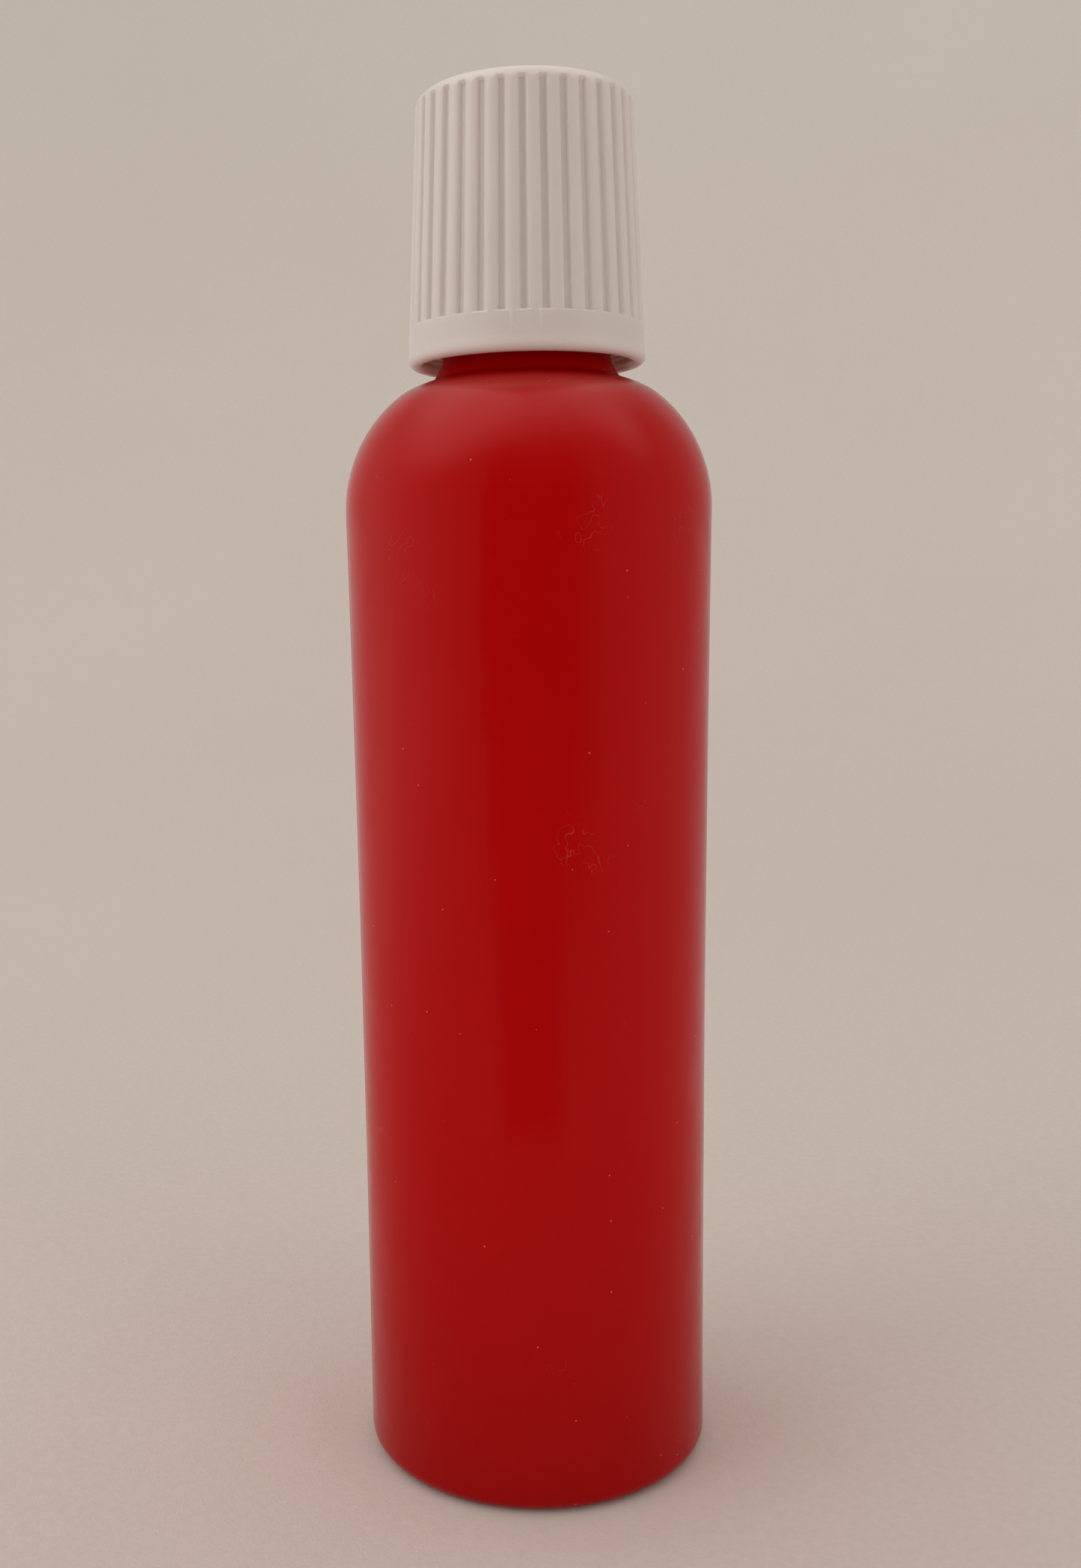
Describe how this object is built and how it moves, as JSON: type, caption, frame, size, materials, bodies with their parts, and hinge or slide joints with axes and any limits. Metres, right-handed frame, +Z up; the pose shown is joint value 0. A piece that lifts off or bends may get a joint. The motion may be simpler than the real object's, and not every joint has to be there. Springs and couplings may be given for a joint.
{
  "type": "paint bottle",
  "caption": "Round opaque plastic bottle with a domed shoulder, a pouring nozzle and a tall ribbed push-and-turn screw cap.",
  "frame": {"origin": "centre of the bottle's base, on the surface that it stands on", "axes": "+Z up along the bottle's axis, through the cap; the bottle is round, so X and Y are free, and -Y is the side seen first"},
  "size_m": [0.049, 0.049, 0.185],
  "materials": {
    "bottle_plastic": "satin-gloss moulded polyethylene, opaque red",
    "nozzle_plastic": "natural soft polyethylene, slightly waxy",
    "seal_foam": "fine closed-cell white foam",
    "inner_cap_plastic": "smooth moulded white polypropylene",
    "spring_plastic": "moulded natural acetal",
    "cap_plastic": "satin moulded white polypropylene"
  },
  "bodies": {
    "bottle": {"bottle": "bottle_plastic", "nozzle_insert": "nozzle_plastic"},
    "seal_washer": {"seal_washer": "seal_foam"},
    "inner_cap": {"inner_cap": "inner_cap_plastic"},
    "spring_disc": {"spring_disc": "spring_plastic"},
    "outer_cap": {"outer_cap": "cap_plastic"}
  },
  "joints": [
    {"name": "cap_rise", "type": "slide", "parent": "bottle", "child": "seal_washer", "axis": [0, 0, 1], "range_m": [0, 0.03175]},
    {"name": "cap_turn", "type": "hinge", "parent": "seal_washer", "child": "inner_cap", "pos_m": [0, 0, 0.16], "axis": [0, 0, 1], "range_deg": [0, 3600]},
    {"name": "shell_spin", "type": "hinge", "parent": "inner_cap", "child": "spring_disc", "pos_m": [0, 0, 0.18], "axis": [0, 0, 1], "continuous": true},
    {"name": "shell_push", "type": "slide", "parent": "spring_disc", "child": "outer_cap", "axis": [0, 0, -1], "range_m": [0, 0.0015], "stiffness_N_per_m": 1500, "springref_m": -0.002, "deforming": ["spring_disc"]}
  ],
  "couplings": [
    {"joint": "cap_turn", "follows": "cap_rise", "rad_per_m": 1979}
  ]
}
